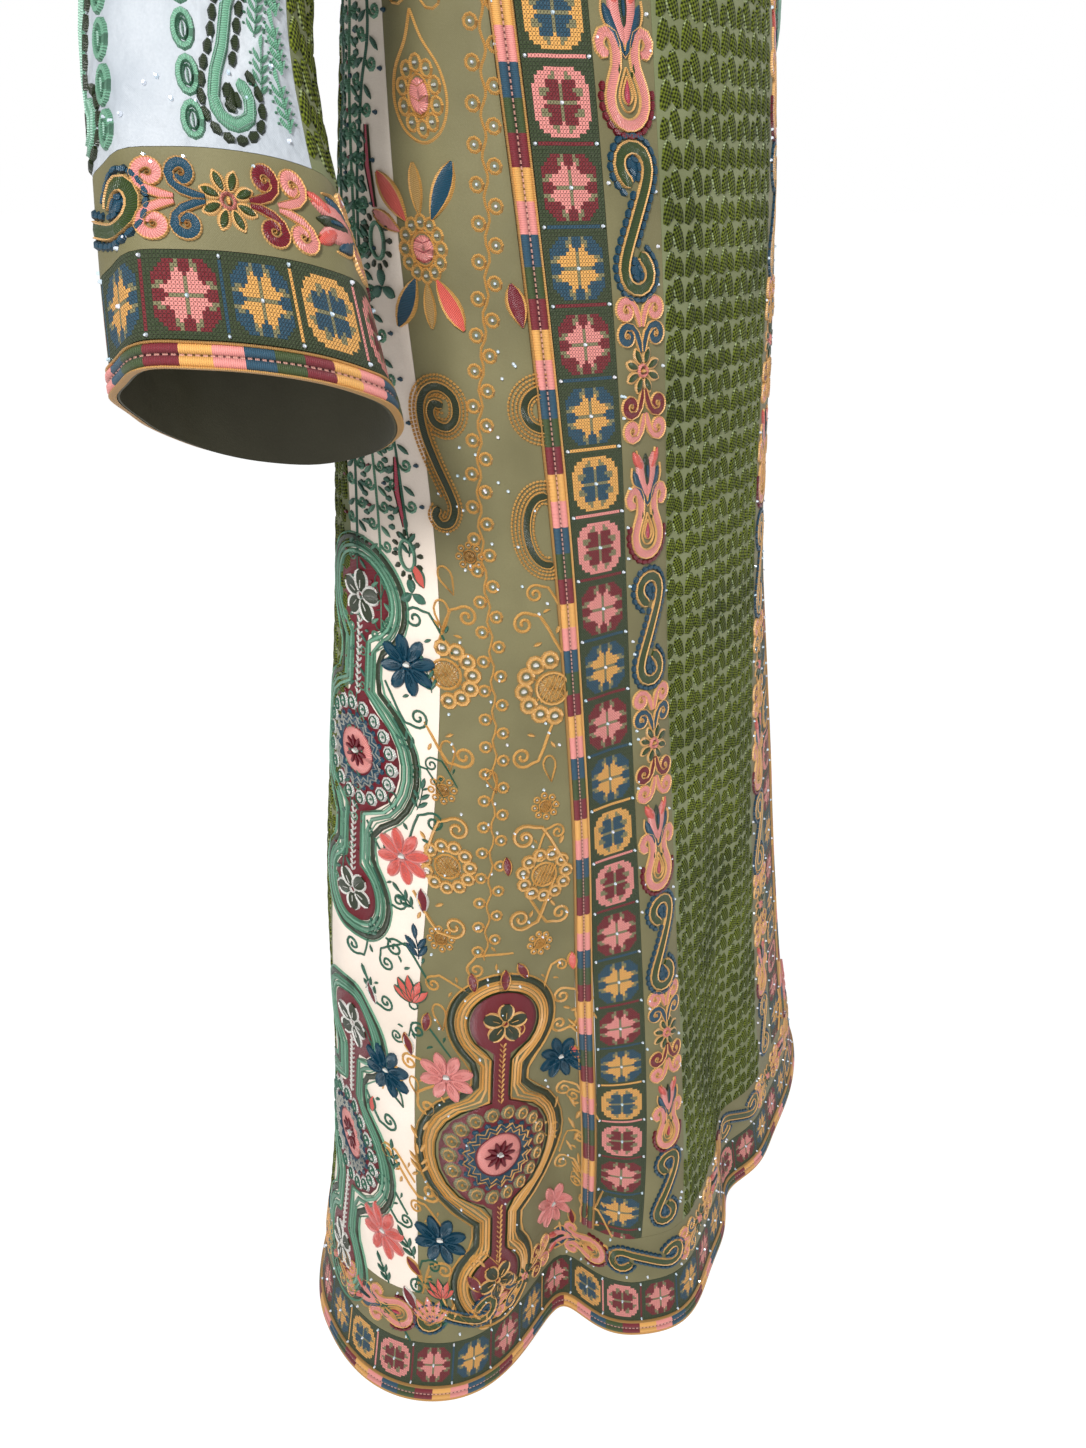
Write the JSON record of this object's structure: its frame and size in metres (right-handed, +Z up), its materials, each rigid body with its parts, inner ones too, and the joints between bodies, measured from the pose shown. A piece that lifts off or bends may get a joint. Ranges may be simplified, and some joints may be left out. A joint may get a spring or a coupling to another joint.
{
  "type": "thobe",
  "caption": "Floor-length thobe of embroidered strips with cross-stitch bands, striped piping, bordered hem and cuffs, open as when worn.",
  "frame": {"origin": "on the shoulder line at the middle of the neck, where the wearer holds the garment up", "axes": "+Z up, -Y out of the garment's front, -X to the wearer's right"},
  "size_m": [0.8227, 0.4405, 1.4663],
  "materials": {
    "leaf_cloth": "sage net covered with rows of small leaves in green chain stitch",
    "sage_cloth": "matt sage-olive crepe with corded and satin-stitch embroidery",
    "cream_cloth": "cream satin-crepe with mint, green and burgundy embroidery",
    "cross_stitch_cloth": "dark green ground worked all over in cross stitch",
    "piping_cloth": "patchwork piping of yellow, pink, blue, green and burgundy satin",
    "lining_cloth": "plain olive-grey lining with a soft sheen"
  },
  "bodies": {
    "root": {"front_centre": "leaf_cloth", "back": "leaf_cloth", "yoke_front_centre": "leaf_cloth", "yoke_back": "leaf_cloth", "paisley_band_right": "sage_cloth", "cross_stitch_band_right": "cross_stitch_cloth", "front_piping_right": "piping_cloth", "side_front_right": "sage_cloth", "yoke_paisley_band_right": "sage_cloth", "yoke_cross_stitch_band_right": "cross_stitch_cloth", "yoke_front_piping_right": "piping_cloth", "yoke_side_front_right": "sage_cloth", "side_right": "cream_cloth", "sleeve_right": "cream_cloth", "under_sleeve_right": "leaf_cloth", "cuff_sage_right": "sage_cloth", "cuff_cross_stitch_right": "cross_stitch_cloth", "cuff_piping_right": "piping_cloth", "cuff_lining_right": "lining_cloth", "paisley_band_left": "sage_cloth", "cross_stitch_band_left": "cross_stitch_cloth", "front_piping_left": "piping_cloth", "side_front_left": "sage_cloth", "yoke_paisley_band_left": "sage_cloth", "yoke_cross_stitch_band_left": "cross_stitch_cloth", "yoke_front_piping_left": "piping_cloth", "yoke_side_front_left": "sage_cloth", "side_left": "cream_cloth", "sleeve_left": "cream_cloth", "under_sleeve_left": "leaf_cloth", "cuff_sage_left": "sage_cloth", "cuff_cross_stitch_left": "cross_stitch_cloth", "cuff_piping_left": "piping_cloth", "cuff_lining_left": "lining_cloth", "hem_sage_front": "sage_cloth", "hem_cross_stitch_front": "cross_stitch_cloth", "hem_piping_front": "piping_cloth", "hem_sage_right": "sage_cloth", "hem_cross_stitch_right": "cross_stitch_cloth", "hem_piping_right": "piping_cloth", "hem_sage_back": "sage_cloth", "hem_cross_stitch_back": "cross_stitch_cloth", "hem_piping_back": "piping_cloth", "hem_sage_left": "sage_cloth", "hem_cross_stitch_left": "cross_stitch_cloth", "hem_piping_left": "piping_cloth", "neck_binding": "sage_cloth"}
  },
  "joints": []
}
